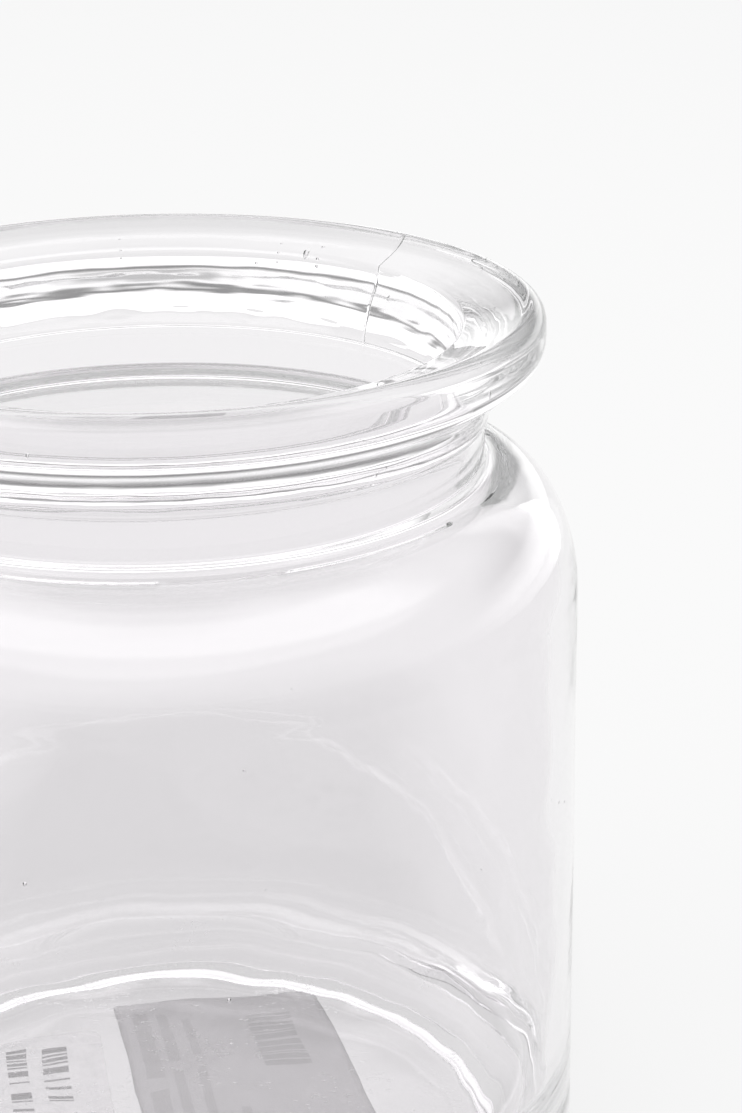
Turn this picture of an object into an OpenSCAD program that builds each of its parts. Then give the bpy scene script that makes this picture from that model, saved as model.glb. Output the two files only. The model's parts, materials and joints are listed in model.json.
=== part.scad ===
// Empty apothecary candle jar: one pressed glass body with a flanged rim, a short neck,
// a domed shoulder and a straight wall, and two stickers in the recess under its base.
// Millimetres. +Z is up the jar's axis, and the origin is the centre of the circle it stands on.

/* [Body] */
// Height over all, from the standing ring to the top of the rim
jar_h = 120; // [100:1:150]
// Outer diameter of the straight wall
body_d = 107; // [90:1:130]
// Glass thickness of the straight wall
wall_t = 3.6; // [2.8:0.1:4.5]
// Height of the domed shoulder
shoulder_h = 16; // [12:0.5:20]
// Glass above the slope inside the shoulder, at the top of the shoulder
shoulder_t = 2.5; // [2:0.1:4]
// Fall of the slope inside the shoulder, where it leaves the throat
inner_slope = 28; // [10:1:40]

/* [Rim and neck] */
// Diameter of the throat, which a stopper lid drops into
throat_d = 76.5; // [64:0.5:92]
// Glass thickness of the neck
neck_t = 3.3; // [2:0.1:4]
// Straight height of the neck, between the flange and the shoulder's fillet
neck_h = 2.4; // [1:0.1:6]
// How far the flange stands out from the neck
rim_overhang = 7.6; // [6.5:0.1:10]
// Radius of the rim's upper outer edge
rim_edge_r = 2.25; // [1:0.05:3]
// Height of the upright band round the rim
rim_band_h = 1.35; // [0.5:0.05:3]
// Radius of the rim's lower outer edge
rim_under_r = 4.7; // [3:0.1:6]
// How far the rim's lower edge turns under, from upright, before the flare down to the neck
rim_under_angle = 61; // [50:1:75]
// Fall of the rim's top face towards the mouth
rim_dish_angle = 17; // [5:1:20]
// Radius of the mouth's edge
mouth_edge_r = 1.2; // [0.5:0.1:1.5]

/* [Base] */
// Glass thickness of the base
base_t = 6.5; // [5:0.5:8]
// Radius of the heel, between the wall and the standing ring
heel_r = 5.5; // [3:0.5:7]
// Width of the standing ring
ring_w = 3; // [2:0.5:4]
// Depth of the recess inside the standing ring
recess_depth = 1.5; // [1:0.1:2]
// Radius between the floor and the wall inside
floor_corner_r = 12.5; // [8:0.5:14]

/* [Labels] */
// Thickness of the paper label
paper_t = 0.12; // [0.08:0.01:0.2]
// Thickness of the clear label
film_t = 0.1; // [0.05:0.01:0.2]
// Gap between the recess's edge and the circle that holds both labels
label_clear = 1; // [0.5:0.1:2]
// Width of the paper label, as a part of that circle's radius
paper_w_part = 0.735; // [0.5:0.005:0.75]
// Length of the paper label, as a part of that circle's radius
paper_l_part = 1.34; // [1:0.01:1.4]
// Width of the clear label, as a part of that circle's radius
film_w_part = 0.565; // [0.4:0.005:0.57]
// Length of the clear label, as a part of that circle's radius
film_l_part = 0.94; // [0.8:0.01:1]

/* [Hidden] */
$fn = 96;

// Segments in each rounded stretch of the jar's outline
arc_steps = 12;
// Segments in each of the long curves, which are the flare and the shoulder's two sides
dome_steps = 24;

// Radii of the upright surfaces, from the axis
body_r = body_d / 2;
inner_r = body_r - wall_t;
throat_r = throat_d / 2;
neck_r = throat_r + neck_t;
rim_r = neck_r + rim_overhang;

// Fillet at the neck's foot, and the rounded lip where the throat opens into the body
neck_fillet_r = 2.2;
lip_r = 1.2;

// Radius of the flange's flare, which turns back upright just as it meets the neck
flare_r = rim_overhang / (1 - cos(rim_under_angle)) - rim_under_r;

// Heights of the outer outline, from the top down
edge_z = jar_h - rim_edge_r;
bulge_z = edge_z - rim_band_h;
flare_z = bulge_z - (rim_under_r + flare_r) * sin(rim_under_angle);
shoulder_top_z = flare_z - neck_h - neck_fillet_r;
shoulder_foot_z = shoulder_top_z - shoulder_h;

// Rim's top face: a straight fall between the outer edge's arc and the mouth's arc
dish_start_r = rim_r - rim_edge_r * (1 + sin(rim_dish_angle));
dish_end_r = throat_r + mouth_edge_r * (1 - sin(rim_dish_angle));
dish_start_z = edge_z + rim_edge_r * cos(rim_dish_angle);
dish_end_z = dish_start_z - (dish_start_r - dish_end_r) * tan(rim_dish_angle);
mouth_z = dish_end_z - mouth_edge_r * cos(rim_dish_angle);

// Inner shoulder: a slope that leaves the throat's lip and rounds off into the wall, and the floor
slope_start_r = throat_r + lip_r * (1 - sin(inner_slope));
slope_start_z = shoulder_top_z - shoulder_t
    + (neck_r + neck_fillet_r - slope_start_r) * tan(inner_slope);
slope_knee_z = slope_start_z - (inner_r - slope_start_r) * tan(inner_slope);
lip_z = slope_start_z + lip_r * cos(inner_slope);
floor_z = recess_depth + base_t;

// Standing ring and recess
ring_outer_r = body_r - heel_r;
ring_inner_r = ring_outer_r - ring_w;
recess_r = ring_inner_r - recess_depth;

// Circle that holds both labels, and the labels cut to suit it
label_circle_r = recess_r - label_clear;
paper_w = paper_w_part * label_circle_r;
paper_l = paper_l_part * label_circle_r;
film_w = film_w_part * label_circle_r;
film_l = film_l_part * label_circle_r;
// Middle and turn of each label, as it was stuck on by hand
paper_at = [0.24, 0.16] * label_circle_r;
paper_turn = 12;
film_at = [-0.49, 0.038] * label_circle_r;
film_turn = 10;
paper_corner_r = 0.8;
film_corner_r = 2;

// Points of an arc or of a quarter ellipse about [x, y], from one angle to another
function arc(x, y, rx, ry, from, to, steps) =
    [for (i = [0:steps]) let (a = from + (to - from) * i / steps) [x + rx * cos(a), y + ry * sin(a)]];

function round_arc(x, y, r, from, to) = arc(x, y, r, r, from, to, arc_steps);

// Points of the smooth curve that leaves a along the line to b and reaches c along the line from b
function bend(a, b, c, steps) =
    [for (i = [0:steps]) let (t = i / steps) (1 - t) * (1 - t) * a + 2 * t * (1 - t) * b + t * t * c];

// Underside, heel, wall, shoulder, neck and flange, from the axis out and up to the rim's edge
function outer_outline() = concat(
    [[0, recess_depth], [recess_r, recess_depth], [ring_inner_r, 0]],
    round_arc(body_r - heel_r, heel_r, heel_r, -90, 0),
    arc(neck_r + neck_fillet_r, shoulder_foot_z, body_r - neck_r - neck_fillet_r, shoulder_h,
        0, 90, dome_steps),
    round_arc(neck_r + neck_fillet_r, shoulder_top_z + neck_fillet_r, neck_fillet_r, 270, 180),
    arc(neck_r + flare_r, flare_z, flare_r, flare_r, 180, 180 - rim_under_angle, dome_steps),
    round_arc(rim_r - rim_under_r, bulge_z, rim_under_r, -rim_under_angle, 0),
    round_arc(rim_r - rim_edge_r, edge_z, rim_edge_r, 0, 90 + rim_dish_angle)
);

// Mouth, throat, inner shoulder, inner wall and floor, from the rim down to the axis
function inner_outline() = concat(
    round_arc(throat_r + mouth_edge_r, mouth_z, mouth_edge_r, 90 + rim_dish_angle, 180),
    round_arc(throat_r + lip_r, lip_z, lip_r, 180, 270 - inner_slope),
    bend([slope_start_r, slope_start_z], [inner_r, slope_knee_z], [inner_r, shoulder_foot_z], dome_steps),
    round_arc(inner_r - floor_corner_r, floor_z + floor_corner_r, floor_corner_r, 0, -90),
    [[0, floor_z]]
);

module glass_jar() {
    color("gainsboro", 0.4)
        rotate_extrude()
            polygon(concat(outer_outline(), inner_outline()));
}

// A sheet with rounded corners, its middle at the origin and its length along Y
module sheet(w, l, corner_r, t) {
    linear_extrude(t)
        polygon([
            for (q = [0:3])
                let (x = (q == 0 || q == 3 ? 1 : -1) * (w / 2 - corner_r),
                     y = (q < 2 ? 1 : -1) * (l / 2 - corner_r))
                each round_arc(x, y, corner_r, 90 * q, 90 * q + 90)
        ]);
}

// Puts a sheet's upper face against the flat of the recess
module stuck_under_base(at, turn, t) {
    translate([at.x, at.y, recess_depth - t])
        rotate([0, 0, turn])
            children();
}

module care_label() {
    color("whitesmoke", 0.5)
        stuck_under_base(film_at, film_turn, film_t)
            sheet(film_w, film_l, film_corner_r, film_t);
}

module barcode_label() {
    color("silver")
        stuck_under_base(paper_at, paper_turn, paper_t)
            sheet(paper_w, paper_l, paper_corner_r, paper_t);
}

glass_jar();
care_label();
barcode_label();
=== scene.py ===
import json
import math

import bmesh
import bpy
import numpy as np
from mathutils import Matrix, Vector


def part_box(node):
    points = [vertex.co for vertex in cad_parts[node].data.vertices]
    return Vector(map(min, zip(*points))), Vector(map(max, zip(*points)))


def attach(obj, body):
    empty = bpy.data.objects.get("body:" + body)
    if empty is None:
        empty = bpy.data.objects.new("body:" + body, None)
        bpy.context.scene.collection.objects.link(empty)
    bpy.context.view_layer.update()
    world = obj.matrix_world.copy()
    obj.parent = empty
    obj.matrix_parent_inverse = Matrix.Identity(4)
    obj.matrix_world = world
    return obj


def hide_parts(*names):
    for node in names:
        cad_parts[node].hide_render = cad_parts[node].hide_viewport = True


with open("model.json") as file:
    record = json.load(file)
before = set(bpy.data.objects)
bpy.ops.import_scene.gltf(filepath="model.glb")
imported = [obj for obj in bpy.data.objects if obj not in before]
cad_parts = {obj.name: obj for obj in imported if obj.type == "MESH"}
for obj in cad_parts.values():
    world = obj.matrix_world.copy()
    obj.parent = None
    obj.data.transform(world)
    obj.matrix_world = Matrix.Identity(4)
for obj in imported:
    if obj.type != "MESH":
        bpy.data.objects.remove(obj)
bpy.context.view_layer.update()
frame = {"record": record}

MM = 0.001

# ---------------------------------------------------------------- sizes, in metres
# Heights and outer radii come from the CAD frame. The rest are the CAD model's own sizes.
JAR_LOW, JAR_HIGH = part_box("glass_jar")
JAR_H = JAR_HIGH.z
BODY_R = (JAR_HIGH.x - JAR_LOW.x) / 2
THROAT_R = frame["record"]["mounts"][1]["dims"]["r_mm"] * MM
WALL_T = 3.6 * MM
NECK_T = 3.3 * MM
SHOULDER_H = 16.0 * MM
SHOULDER_T = 2.5 * MM
INNER_SLOPE = 28

RIM_OVERHANG = 7.6 * MM
RIM_EDGE_R = 2.25 * MM
RIM_BAND_H = 1.35 * MM
RIM_UNDER_R = 4.7 * MM
RIM_UNDER_ANGLE = 61
RIM_DISH_ANGLE = 17
MOUTH_EDGE_R = 1.2 * MM
NECK_H = 2.4 * MM
NECK_FILLET_R = 2.2 * MM
LIP_R = 1.2 * MM

HEEL_R = 5.5 * MM
RING_W = 3.0 * MM
RECESS_DEPTH = 1.5 * MM
BASE_T = 6.5 * MM
FLOOR_CORNER_R = 12.5 * MM

NECK_R = THROAT_R + NECK_T
RIM_R = NECK_R + RIM_OVERHANG
INNER_R = BODY_R - WALL_T
FLOOR_Z = RECESS_DEPTH + BASE_T

# Parting line between the neck's mould and the rim's, and the azimuths of the neck mould's seams
PARTING_Z = 105.9 * MM
SEAM_AZIMUTHS = (49, 229)

# Even columns of faces round the jar, before the seams' extra ones
AROUND = 290

# The glass's random waves: how many, the most turns of one round the jar, its length along the section
BROAD = {"waves": 30, "most_around": 5, "longest": 120 * MM, "seed": 11}
FINE = {"waves": 40, "most_around": 16, "longest": 30 * MM, "seed": 12}
STREAKS = {"waves": 80, "most_around": 30, "longest": 1.6 * MM, "seed": 13}
RAGGED = {"waves": 60, "most_around": 70, "longest": 5 * MM, "seed": 14}

# Bubbles in the glass: in the wall, in the base, round the rim, and one larger one by the mouth
WALL_SEEDS = 22
BASE_SEEDS = 12
RIM_SEEDS = 10
SMALLEST_SEED = 0.10 * MM
LARGEST_SEED = 0.26 * MM
BIG_SEED_R = 0.45 * MM
BIG_SEED_AZIMUTH = 62

# Stickers under the base, as in the CAD model: each one's middle, width and length are parts of the radius
# of the circle that holds both, and its turn is in degrees. Sag is how far it hangs where it came unstuck.
LABEL_CIRCLE_R = 42.5 * MM
PAPER = {
    "at": (0.24, 0.16), "turn": 12, "size": (0.735, 1.34), "corner": 0.8 * MM,
    "sag": 0.03 * MM, "seed": 15,
}
FILM = {
    "at": (-0.49, 0.038), "turn": 10, "size": (0.565, 0.94), "corner": 2.0 * MM,
    "sag": 0.02 * MM, "seed": 12,
}
AIR_GAP = 0.02 * MM

# The camera: its place, how far it looks down and rolls (degrees), and its lens (millimetres)
CAMERA_AT = (0.02708, -0.37746, 0.22173)
CAMERA_DIP = 19.7443
CAMERA_ROLL = -0.4566
CAMERA_LENS = 101.45

# The studio's floor: half its width, and how brightly and evenly it is lit
FLOOR_REACH = 4.0
FLOOR_GLOW = 0.735

# A soft shadow painted into the floor's glow behind the jar, not cast by it: how much dimmer it is, and its
# places in millimetres
SHADOW_DEPTH = 0.14
SHADOW_HALF_WIDTH = 34
SHADOW_START, SHADOW_END = 70, 150
SHADOW_SOFT = 50
SHADOW_SOFT_SIDE = 26

# The studio's walls and ceiling, as zones of the sky: the zone's middle and half width in azimuth, its
# lowest and highest elevation (degrees), and its brightness above or below the room's
ROOM = 1.15
ZONES = [
    (90, 75, 0, 9, 0.5),
    (90, 75, 12, 22, -0.9),
    (90, 75, 22, 30, -0.15),
    (90, 75, 30, 42, 0.2),
    (-80, 85, 30, 60, 1.5),
]
ZONE_SOFT = 15
CEILING_FALL = 0.55

# Light runs round inside the thick shoulder and rim, which turn black with too few bounces
BOUNCES = 48


# ---------------------------------------------------------------- small helpers
def link(obj):
    bpy.context.scene.collection.objects.link(obj)
    return obj


def arc(x, y, rx, ry, start, end, steps):
    """Points of an ellipse's arc about (x, y), with the angles in degrees."""
    angles = np.radians(np.linspace(start, end, steps + 1))
    return np.c_[x + rx * np.cos(angles), y + ry * np.sin(angles)]


def line(a, b, steps):
    """Points of a straight stretch, without its ends."""
    part = np.linspace(0, 1, steps + 1)[1:-1, None]
    return np.array(a) + (np.array(b) - np.array(a)) * part


def bend(a, b, c, steps):
    """Points of the smooth curve that leaves a along the line to b and reaches c along the line from b."""
    t = np.linspace(0, 1, steps + 1)[:, None]
    return (1 - t) ** 2 * np.array(a) + 2 * t * (1 - t) * np.array(b) + t * t * np.array(c)


def wander(around, along, waves, most_around, longest, seed):
    """A smooth random field of unit strength over turns (radians) and lengths along the section (metres)."""
    rng = np.random.default_rng(seed)
    rounds = rng.integers(1, most_around + 1, waves)
    rates = rng.normal(0, 2 * np.pi / longest, waves)
    phases = rng.uniform(0, 2 * np.pi, waves)
    field = np.zeros(np.broadcast(around, along).shape)
    for m, k, phase in zip(rounds, rates, phases):
        field += np.cos(m * around + k * along + phase)
    return field * math.sqrt(2 / waves)


def ramp(value, low, high):
    """0 below low, 1 above high, and smooth between. Low may be the larger."""
    t = np.clip((value - low) / (high - low), 0, 1)
    return t * t * (3 - 2 * t)


# ---------------------------------------------------------------- the glass body
def outer_outline():
    """(radius, height) from the middle of the underside, up to the top of the rim's outer edge."""
    tilt = math.radians(RIM_UNDER_ANGLE)
    flare_r = RIM_OVERHANG / (1 - math.cos(tilt)) - RIM_UNDER_R
    edge_z = JAR_H - RIM_EDGE_R
    bulge_z = edge_z - RIM_BAND_H
    flare_z = bulge_z - (RIM_UNDER_R + flare_r) * math.sin(tilt)
    top_z = flare_z - NECK_H - NECK_FILLET_R
    foot_z = top_z - SHOULDER_H
    ring_r = BODY_R - HEEL_R - RING_W
    recess_r = ring_r - RECESS_DEPTH
    fillet_r = NECK_R + NECK_FILLET_R
    points = np.concatenate([
        [[0, RECESS_DEPTH]],
        line((0, RECESS_DEPTH), (recess_r, RECESS_DEPTH), 14),
        [[recess_r, RECESS_DEPTH], [ring_r, 0]],
        arc(BODY_R - HEEL_R, HEEL_R, HEEL_R, HEEL_R, -90, 0, 12),
        line((BODY_R, HEEL_R), (BODY_R, foot_z), 36),
        arc(fillet_r, foot_z, BODY_R - fillet_r, SHOULDER_H, 0, 90, 30),
        arc(fillet_r, top_z + NECK_FILLET_R, NECK_FILLET_R, NECK_FILLET_R, 270, 180, 6),
        arc(NECK_R + flare_r, flare_z, flare_r, flare_r, 180, 180 - RIM_UNDER_ANGLE, 40),
        arc(RIM_R - RIM_UNDER_R, bulge_z, RIM_UNDER_R, RIM_UNDER_R, -RIM_UNDER_ANGLE, 0, 10)[1:],
        arc(RIM_R - RIM_EDGE_R, edge_z, RIM_EDGE_R, RIM_EDGE_R, 0, 90 + RIM_DISH_ANGLE, 12),
    ])
    return points, foot_z, top_z


def inner_outline(foot_z, top_z):
    """(radius, height) from the rim's top face, down the throat and the wall, to the middle of the floor."""
    dish = math.radians(RIM_DISH_ANGLE)
    start_r = RIM_R - RIM_EDGE_R * (1 + math.sin(dish))
    start_z = JAR_H - RIM_EDGE_R * (1 - math.cos(dish))
    end_r = THROAT_R + MOUTH_EDGE_R * (1 - math.sin(dish))
    end_z = start_z - (start_r - end_r) * math.tan(dish)
    mouth_z = end_z - MOUTH_EDGE_R * math.cos(dish)
    slope = math.radians(INNER_SLOPE)
    slope_r = THROAT_R + LIP_R * (1 - math.sin(slope))
    slope_z = top_z - SHOULDER_T + (NECK_R + NECK_FILLET_R - slope_r) * math.tan(slope)
    knee_z = slope_z - (INNER_R - slope_r) * math.tan(slope)
    lip_z = slope_z + LIP_R * math.cos(slope)
    corner_z = FLOOR_Z + FLOOR_CORNER_R
    return np.concatenate([
        line((start_r, start_z), (end_r, end_z), 8),
        arc(THROAT_R + MOUTH_EDGE_R, mouth_z, MOUTH_EDGE_R, MOUTH_EDGE_R, 90 + RIM_DISH_ANGLE, 180, 8),
        line((THROAT_R, mouth_z), (THROAT_R, lip_z), 24),
        arc(THROAT_R + LIP_R, lip_z, LIP_R, LIP_R, 180, 270 - INNER_SLOPE, 8),
        bend((slope_r, slope_z), (INNER_R, knee_z), (INNER_R, foot_z), 24)[1:],
        line((INNER_R, foot_z), (INNER_R, corner_z), 30),
        arc(INNER_R - FLOOR_CORNER_R, corner_z, FLOOR_CORNER_R, FLOOR_CORNER_R, 0, -90, 24),
        line((INNER_R - FLOOR_CORNER_R, FLOOR_Z), (0, FLOOR_Z), 14),
        [[0, FLOOR_Z]],
    ])


def refined(section, height, reach, step):
    """Adds points to the outline where it passes that height, so that a fine ridge has a true shape."""
    out = [section[:1]]
    for a, b in zip(section, section[1:]):
        near = abs((a[1] + b[1]) / 2 - height) < reach
        pieces = max(1, math.ceil(np.linalg.norm(b - a) / step)) if near else 1
        out.append(a + (b - a) * (np.arange(1, pieces + 1) / pieces)[:, None])
    return np.concatenate(out)


def section_normals(section):
    """Unit normals of the outline, out of the glass."""
    along = np.gradient(section, axis=0)
    normals = np.c_[along[:, 1], -along[:, 0]]
    return normals / np.linalg.norm(normals, axis=1)[:, None]


def seam_turns():
    """Turns of the columns: even, with extra ones for each mould seam."""
    even = np.linspace(0, 360, AROUND, endpoint=False)
    extra = np.array([-0.5, -0.3, -0.15, 0, 0.15, 0.3, 0.5])
    for azimuth in SEAM_AZIMUTHS:
        even = even[np.abs(even - azimuth) > 0.8]
        even = np.concatenate([even, azimuth + extra])
    return np.radians(np.sort(even))


def unevenness(section, outer_count, turns, foot_z):
    """How far each point of the glass stands off its outline, in metres, as pressed glass does.

    The heights and amplitudes of each kind of unevenness are in millimetres.
    """
    steps = np.linalg.norm(np.diff(section, axis=0), axis=1)
    along = np.concatenate([[0], np.cumsum(steps)])[:, None]
    height = section[:, 1:]
    radius = section[:, :1]
    outside = (np.arange(len(section)) < outer_count)[:, None]
    a = turns[None, :]
    broad = wander(a, along, **BROAD)
    fine = wander(a, along, **FINE)
    streaks = wander(a, along, **STREAKS)
    ragged = wander(a, along, **RAGGED)
    wall = ramp(height, 10 * MM, 25 * MM) * ramp(height, foot_z + 16 * MM, foot_z)
    throat = ramp(height, 104 * MM, 108 * MM) * ramp(height, 115 * MM, 112 * MM)
    far_side = 0.25 + 0.75 * ramp(np.sin(a), 0.0, 0.6)
    corner = ramp(height, 24 * MM, 12 * MM) * ramp(radius, 26 * MM, 36 * MM)
    inside = ~outside
    off = outside * ramp(height, 2 * MM, 8 * MM) * (0.02 * broad + 0.006 * fine)
    off = off + inside * (0.03 * broad + 0.008 * fine)
    off = off + inside * wall * (0.10 * broad + 0.02 * fine)
    off = off + inside * corner * (0.11 * broad + 0.05 * fine)
    off = off + outside * throat * far_side * (0.014 * streaks + 0.014 * ragged)
    seam = np.zeros_like(a)
    for azimuth in SEAM_AZIMUTHS:
        seam = seam + np.exp(-((np.degrees(a) - azimuth) / 0.18) ** 2)
    seam_here = 0.08 * ramp(height, PARTING_Z - 1 * MM, PARTING_Z) + 0.02 * ramp(height, 92 * MM, 98 * MM)
    ring = np.exp(-((height - PARTING_Z) / (0.16 * MM)) ** 2)
    off = off + outside * (seam_here * seam + 0.2 * ring)
    return off * ramp(radius, 0, 12 * MM) * MM


def jar_mesh():
    outer, foot_z, top_z = outer_outline()
    outer = refined(outer, PARTING_Z, 0.8 * MM, 0.12 * MM)
    section = np.concatenate([outer, inner_outline(foot_z, top_z)])
    turns = seam_turns()
    off = unevenness(section, len(outer), turns, foot_z)
    rings = slice(1, -1)
    normals = section_normals(section)
    radius = section[rings, :1] + normals[rings, :1] * off[rings]
    height = section[rings, 1:] + normals[rings, 1:] * off[rings]
    height = np.clip(height, 0, JAR_H)
    radius = np.minimum(radius, BODY_R)
    verts = np.stack([radius * np.cos(turns), radius * np.sin(turns), height], axis=-1)
    count, around = verts.shape[:2]
    points = np.concatenate([[[0, 0, section[0, 1]]], verts.reshape(-1, 3), [[0, 0, section[-1, 1]]]])
    j = np.arange(around)
    k = (j + 1) % around
    start = 1 + around * np.arange(count - 1)[:, None]
    quads = np.stack([start + j, start + k, start + around + k, start + around + j], axis=-1).reshape(-1, 4)
    last = 1 + around * (count - 1)
    faces = [(0, 1 + b, 1 + c) for c, b in zip(j, k)]
    faces += quads.tolist()
    faces += [(last + c, last + b, len(points) - 1) for c, b in zip(j, k)]
    mesh = bpy.data.meshes.new("jar_glass")
    mesh.from_pydata(points.tolist(), [], faces)
    mesh.polygons.foreach_set("use_smooth", [True] * len(mesh.polygons))
    mesh.update()
    return mesh


def seed_spots():
    """Middle and radius of each bubble."""
    rng = np.random.default_rng(21)
    count = WALL_SEEDS + BASE_SEEDS + RIM_SEEDS
    turns = rng.uniform(0, 2 * np.pi, count)
    shares = rng.uniform(0, 1, count)
    sizes = rng.uniform(SMALLEST_SEED / MM, LARGEST_SEED / MM, count) * MM
    spots = []
    for i, (turn, share, size) in enumerate(zip(turns, shares, sizes)):
        if i < WALL_SEEDS:
            r, z = BODY_R - WALL_T * (0.35 + 0.3 * share), (14 + 62 * share) * MM
        elif i < WALL_SEEDS + BASE_SEEDS:
            r, z = 40 * MM * math.sqrt(share), RECESS_DEPTH + BASE_T * (0.3 + 0.4 * share)
        else:
            r, z = THROAT_R + (3.0 + 4.0 * share) * MM, JAR_H - 5.0 * MM
        spots.append((r * math.cos(turn), r * math.sin(turn), z, size))
    turn = math.radians(BIG_SEED_AZIMUTH)
    r = THROAT_R + 2.0 * MM
    spots.append((r * math.cos(turn), r * math.sin(turn), JAR_H - 3.3 * MM, BIG_SEED_R))
    return spots


def add_seeds(mesh):
    """Round bubbles inside the glass: hollows, whose faces look into them."""
    bm = bmesh.new()
    bm.from_mesh(mesh)
    for x, y, z, size in seed_spots():
        made = bmesh.ops.create_uvsphere(bm, u_segments=12, v_segments=8, radius=size)
        bmesh.ops.translate(bm, verts=made["verts"], vec=(x, y, z))
        faces = {face for vert in made["verts"] for face in vert.link_faces}
        bmesh.ops.reverse_faces(bm, faces=list(faces))
        for face in faces:
            face.smooth = True
    bm.to_mesh(mesh)
    bm.free()


# ---------------------------------------------------------------- materials
class Tree:
    """A short way to add and join the nodes of a material or of the world."""

    def __init__(self, owner, shader="Principled BSDF"):
        self.owner = owner
        self.owner.use_nodes = True
        self.nodes = owner.node_tree.nodes
        self.shader = self.nodes[shader]

    def join(self, source, target):
        self.owner.node_tree.links.new(source, target)

    def add(self, kind, values=None, **settings):
        node = self.nodes.new("ShaderNode" + kind)
        for key, value in settings.items():
            setattr(node, key, value)
        for key, value in (values or {}).items():
            if isinstance(value, bpy.types.NodeSocket):
                self.join(value, node.inputs[key])
            else:
                node.inputs[key].default_value = value
        return node.outputs

    def maths(self, kind, a, b=0.0, c=0.0):
        return self.add("Math", {0: a, 1: b, 2: c}, operation=kind)[0]

    def place(self, scale=(1, 1, 1)):
        """The piece's own coordinates, in millimetres, stretched by scale."""
        at = self.add("TexCoord")["Object"]
        return self.add("VectorMath", {0: at, 1: [v / MM for v in scale]}, operation="MULTIPLY")[0]

    def noise(self, at, scale, detail=2.0, rough=0.5):
        values = {"Vector": at, "Scale": scale, "Detail": detail, "Roughness": rough}
        return self.add("TexNoise", values)["Fac"]

    def edge(self, value, low, high):
        """0 at low, 1 at high, and smooth between. Low may be the larger."""
        return self.add("MapRange", {0: value, 1: low, 2: high}, interpolation_type="SMOOTHSTEP")[0]

    def band(self, value, low, high, soft):
        """1 between low and high, falling to 0 over soft."""
        up = self.add("MapRange", {0: value, 1: low - soft, 2: low, 3: 0.0, 4: 1.0})[0]
        down = self.add("MapRange", {0: value, 1: high, 2: high + soft, 3: 1.0, 4: 0.0})[0]
        return self.maths("MULTIPLY", up, down)

    def put(self, **values):
        for key, value in values.items():
            socket = self.shader.inputs[key.replace("_", " ")]
            if isinstance(value, bpy.types.NodeSocket):
                self.join(value, socket)
            else:
                socket.default_value = value

    def bump(self, height, distance, strength=1.0):
        self.put(Normal=self.add("Bump", {"Height": height, "Distance": distance, "Strength": strength})[0])


def glass_material():
    """Clear pressed glass: faintly rippled, scuffed on its floor and underside, and darker where thick."""
    t = Tree(bpy.data.materials.new("clear_glass"))
    at = t.place()
    height = t.add("SeparateXYZ", {0: at})[2]
    low = t.add("MapRange", {0: height, 1: FLOOR_Z / MM + 0.6, 2: FLOOR_Z / MM + 0.2, 3: 0.0, 4: 1.0})[0]
    ripple = t.noise(at, 0.11, 1.0)
    drag = t.noise(t.place((0.6, 1.1, 1.0)), 1.3, 4.0, 0.6)
    patch = t.noise(at, 0.09, 2.0)
    scuffs = t.maths("MULTIPLY", t.band(drag, 0.63, 1.0, 0.04), t.band(patch, 0.58, 1.0, 0.05))
    scuffs = t.maths("MULTIPLY", scuffs, low)
    t.put(Base_Color=(0.945, 0.933, 0.945, 1), IOR=1.51, Transmission_Weight=1.0)
    t.put(Roughness=t.maths("MULTIPLY", scuffs, 0.35))
    t.bump(t.maths("SUBTRACT", ripple, t.maths("MULTIPLY", scuffs, 0.15)), 0.05 * MM)
    output = t.nodes["Material Output"]
    shade = t.add("BsdfTransparent", {"Color": (0.97, 0.965, 0.97, 1)})[0]
    lamp = t.add("LightPath")["Is Shadow Ray"]
    mix = t.add("MixShader", {0: lamp, 1: t.shader.outputs[0], 2: shade})
    t.join(mix[0], output.inputs["Surface"])
    absorb = t.add("VolumeAbsorption", {"Color": (0.5, 0.515, 0.505, 1), "Density": 5})
    t.join(absorb[0], output.inputs["Volume"])
    return t.owner


def printed(t, at, boxes):
    """1 inside any of the boxes (left, right, low, high, in millimetres), and 0 elsewhere."""
    x, y = t.add("SeparateXYZ", {0: at})[:2]
    ink = 0.0
    for left, right, low, high in boxes:
        box = t.maths("MULTIPLY", t.band(x, left, right, 0.05), t.band(y, low, high, 0.05))
        ink = t.maths("MAXIMUM", ink, box)
    return ink


def stripes(t, at, pitch, share, seed):
    """Cross strokes of uneven width along the sheet's length, which stand for whatever was printed."""
    y = t.add("SeparateXYZ", {0: at})[1]
    step = t.maths("FLOOR", t.maths("DIVIDE", y, pitch))
    pick = t.add("TexWhiteNoise", {"W": t.maths("ADD", step, seed)}, noise_dimensions="1D")["Value"]
    return t.maths("LESS_THAN", pick, share)


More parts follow.
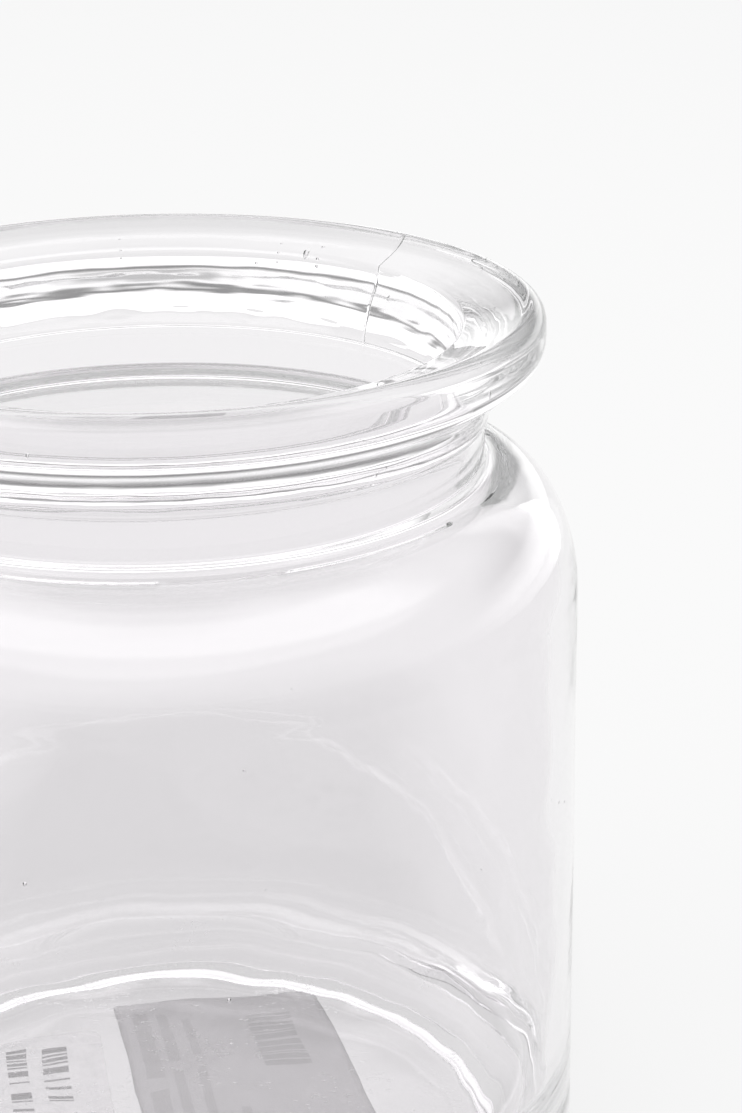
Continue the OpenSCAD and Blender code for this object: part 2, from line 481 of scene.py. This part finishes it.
def paper_material():
    """Matt sticker paper, seen from its back, with its plain printed bars showing through."""
    t = Tree(bpy.data.materials.new("label_paper"))
    at = t.place()
    code = t.maths("MULTIPLY", printed(t, at, [(3.9, 10.6, 6.5, 22.3)]), stripes(t, at, 0.36, 0.55, 3))
    words = printed(t, at, PAPER_BARS)
    ink = t.maths("MAXIMUM", code, t.maths("MULTIPLY", words, 0.7))
    fibre = t.noise(t.place((1, 0.4, 1)), 2.2, 4.0, 0.7)
    cloud = t.noise(at, 0.16, 2.0)
    facing = t.add("SeparateXYZ", {0: t.add("NewGeometry")["Normal"]})[2]
    underside = t.maths("LESS_THAN", facing, 0.0)
    shown = t.maths("MULTIPLY", ink, t.add("MapRange", {0: underside, 3: 0.22, 4: 0.9})[0])
    shade = t.maths("ADD", t.maths("MULTIPLY", fibre, 0.05), t.maths("MULTIPLY", cloud, 0.08))
    paper = t.add("MapRange", {0: shade, 1: 0.04, 2: 0.10, 3: 0.60, 4: 0.66})[0]
    tone = t.maths("MULTIPLY", paper, t.maths("SUBTRACT", 1.0, shown))
    t.put(Base_Color=t.add("CombineColor", {0: tone, 1: t.maths("MULTIPLY", tone, 0.995), 2: tone})[0])
    t.put(Roughness=t.add("MapRange", {0: fibre, 3: 0.65, 4: 0.85})[0])
    t.bump(fibre, 0.02 * MM)
    return t.owner


def film_material():
    """Clear sticker film, slightly hazy, with plain printed bars and the haze of its glue."""
    t = Tree(bpy.data.materials.new("clear_film"))
    at = t.place()
    strokes = stripes(t, at, 0.38, 0.42, 11)
    ink = t.maths("MULTIPLY", printed(t, at, FILM_BARS), strokes)
    glue = t.noise(at, 0.35, 3.0)
    haze = t.add("MapRange", {0: glue, 1: 0.35, 2: 0.7, 3: 0.14, 4: 0.26})[0]
    tone = t.add("MapRange", {0: ink, 3: 0.48, 4: 0.08})[0]
    t.put(Base_Color=t.add("CombineColor", {0: tone, 1: tone, 2: tone})[0])
    t.put(Alpha=t.maths("MAXIMUM", haze, t.maths("MULTIPLY", ink, 0.55)))
    t.put(Roughness=t.add("MapRange", {0: glue, 3: 0.15, 4: 0.35})[0], IOR=1.47)
    t.bump(glue, 0.02 * MM)
    return t.owner


def make_jar():
    jar = link(bpy.data.objects.new("jar_glass", jar_mesh()))
    add_seeds(jar.data)
    jar.data.materials.append(glass_material())
    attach(jar, "root")
    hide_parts("glass_jar")
    return jar


# ---------------------------------------------------------------- stickers
# Printed bars in millimetres from the sheet's middle: left, right, low, high
PAPER_BARS = [
    (-13.6, -11.2, 7.0, 25.0), (-13.6, -11.2, -18.0, 4.0),
    (-9.8, -8.2, 11.0, 24.0), (-9.8, -8.2, -6.0, 8.5),
    (-6.2, -5.0, 12.0, 22.0), (-6.2, -5.0, -14.0, 8.0),
    (-2.0, -0.8, -20.0, -4.0), (4.0, 10.4, -22.0, -8.0),
]
FILM_BARS = [
    (3.3, 6.7, 6.2, 16.4), (3.3, 6.7, 1.2, 4.2), (3.3, 6.7, -12.0, -0.8),
    (-2.0, 1.0, 7.6, 17.9), (-2.0, 1.0, -5.0, 5.6), (-2.0, 1.0, -13.4, -7.0),
    (-7.3, -4.3, 2.4, 16.6), (-7.3, -4.3, -11.0, 0.4),
]


def sheet_mesh(name, spec, thick):
    """A thin sheet with rounded corners, its upper face at height 0 but where it sags."""
    size = np.array(spec["size"]) * LABEL_CIRCLE_R
    width, length = size
    corner = spec["corner"]
    cut = corner * (1 - np.cos(np.radians(np.linspace(0, 90, 7))))
    ends = length / 2 - corner + corner * np.sin(np.radians(np.linspace(0, 90, 7)))
    rows = np.concatenate([-ends[::-1], np.linspace(-ends[0], ends[0], 50)[1:-1], ends])
    halves = width / 2 - np.concatenate([cut[::-1], np.zeros(48), cut])
    part = np.linspace(-1, 1, 33)
    x = halves[:, None] * part
    y = np.repeat(rows[:, None], len(part), axis=1)
    rng = np.random.default_rng(spec["seed"])
    sink = np.zeros_like(x)
    for _ in range(9):
        px, py = rng.uniform(-0.45, 0.45, 2) * size
        reach = rng.uniform(2.5, 6.0) * MM
        sink += rng.uniform(0.3, 1.0) * np.exp(-((x - px) ** 2 + (y - py) ** 2) / reach ** 2)
    top = -spec["sag"] * np.clip(sink, 0, 1)
    count, across = x.shape
    upper = np.stack([x, y, top], axis=-1).reshape(-1, 3)
    lower = np.stack([x, y, top - thick], axis=-1).reshape(-1, 3)
    index = np.arange(count * across).reshape(count, across)
    quads = np.stack([index[:-1, :-1], index[:-1, 1:], index[1:, 1:], index[1:, :-1]], axis=-1).reshape(-1, 4)
    rim = np.concatenate([index[0], index[1:, -1], index[-1, -2::-1], index[-2:0:-1, 0]])
    after = np.roll(rim, -1)
    under = len(upper)
    sides = np.stack([rim, rim + under, after + under, after], axis=-1)
    mesh = bpy.data.meshes.new(name)
    faces = quads.tolist() + (quads[:, ::-1] + under).tolist() + sides.tolist()
    mesh.from_pydata(np.concatenate([upper, lower]).tolist(), [], faces)
    smooth = [True] * (2 * len(quads)) + [False] * len(sides)
    mesh.polygons.foreach_set("use_smooth", smooth)
    mesh.update()
    return mesh


def make_label(name, spec, node, material):
    """A sticker against the flat of the recess, in place of its CAD node."""
    low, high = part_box(node)
    thick = high.z - low.z - AIR_GAP - spec["sag"]
    label = link(bpy.data.objects.new(name, sheet_mesh(name, spec, thick)))
    x, y = (part * LABEL_CIRCLE_R for part in spec["at"])
    turn = Matrix.Rotation(math.radians(spec["turn"]), 4, "Z")
    label.matrix_world = Matrix.Translation((x, y, high.z - AIR_GAP)) @ turn
    label.data.materials.append(material)
    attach(label, "root")
    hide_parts(node)


# ---------------------------------------------------------------- stage, light and camera
def make_floor():
    """A pale floor that glows evenly, but for a soft shadow painted into its glow behind the jar."""
    mesh = bpy.data.meshes.new("floor")
    s = FLOOR_REACH
    mesh.from_pydata([(-s, -s, 0), (s, -s, 0), (s, s, 0), (-s, s, 0)], [], [(0, 1, 2, 3)])
    floor = link(bpy.data.objects.new("floor", mesh))
    t = Tree(bpy.data.materials.new("floor"))
    t.put(Base_Color=(0.1, 0.1, 0.1, 1), Roughness=0.8, Specular_IOR_Level=0.0)
    across, back = t.add("SeparateXYZ", {0: t.place()})[:2]
    # Painted shadow: the floor's glow is dimmed in a patch behind the jar, which no lamp casts
    beside = t.band(t.maths("ABSOLUTE", across), -1, SHADOW_HALF_WIDTH, SHADOW_SOFT_SIDE)
    painted_shadow = t.maths("MULTIPLY", beside, t.band(back, SHADOW_START, SHADOW_END, SHADOW_SOFT))
    glow = t.maths("MULTIPLY_ADD", painted_shadow, -SHADOW_DEPTH, FLOOR_GLOW)
    t.put(Emission_Color=(1, 1, 1, 1), Emission_Strength=glow)
    mesh.materials.append(t.owner)


def make_camera():
    camera = link(bpy.data.objects.new("camera", bpy.data.cameras.new("camera")))
    camera.data.lens = CAMERA_LENS
    camera.data.sensor_width = 36
    camera.data.clip_start = 0.01
    tilt = Matrix.Rotation(math.radians(90 - CAMERA_DIP), 4, "X")
    roll = Matrix.Rotation(math.radians(CAMERA_ROLL), 4, "Z")
    camera.matrix_world = Matrix.Translation(CAMERA_AT) @ tilt @ roll
    bpy.context.scene.camera = camera


def room_glow(t):
    """How bright the studio is in each direction: even, with the zones blended in and a dimmer ceiling."""
    x, y, z = t.add("SeparateXYZ", {0: t.add("TexCoord")["Generated"]})[:3]
    elevation = t.maths("DEGREES", t.maths("ARCSINE", z))
    level = t.maths("SQRT", t.maths("SUBTRACT", 1.0001, t.maths("MULTIPLY", z, z)))
    glow = ROOM
    for middle, half, low, high, extra in ZONES:
        turn = math.radians(middle)
        outer, inner = (math.cos(math.radians(half + soft)) for soft in (ZONE_SOFT, -ZONE_SOFT))
        toward = t.maths("MULTIPLY_ADD", y, math.sin(turn), t.maths("MULTIPLY", x, math.cos(turn)))
        near = t.edge(t.maths("DIVIDE", toward, level), outer, inner)
        band = t.maths("MULTIPLY", t.edge(elevation, low - 3, low + 3), t.edge(elevation, high + 6, high - 6))
        glow = t.maths("ADD", glow, t.maths("MULTIPLY", t.maths("MULTIPLY", near, band), extra))
    return t.maths("SUBTRACT", glow, t.maths("MULTIPLY", t.edge(elevation, 72, 82), CEILING_FALL))


def make_light():
    """A soft studio, and a wide lamp overhead that only lights what isn't glass."""
    world = bpy.data.worlds.new("studio")
    t = Tree(world, "Background")
    t.put(Color=(1, 1, 1, 1), Strength=room_glow(t))
    bpy.context.scene.world = world

    lamp = bpy.data.lights.new("overhead", "AREA")
    lamp.size = 1.2
    lamp.energy = 29
    overhead = link(bpy.data.objects.new("overhead", lamp))
    overhead.matrix_world = Matrix.Translation((0, 0, 1.8))
    overhead.visible_camera = False
    overhead.visible_glossy = False
    overhead.visible_transmission = False


scene = bpy.context.scene
scene.view_settings.view_transform = "Standard"
scene.cycles.max_bounces = BOUNCES
scene.cycles.transmission_bounces = BOUNCES
scene.cycles.glossy_bounces = BOUNCES
scene.cycles.transparent_max_bounces = BOUNCES
scene.cycles.caustics_refractive = False
scene.cycles.caustics_reflective = False
make_camera()
make_light()
make_floor()
make_jar()
make_label("barcode_sticker", PAPER, "barcode_label", paper_material())
make_label("care_sticker", FILM, "care_label", film_material())
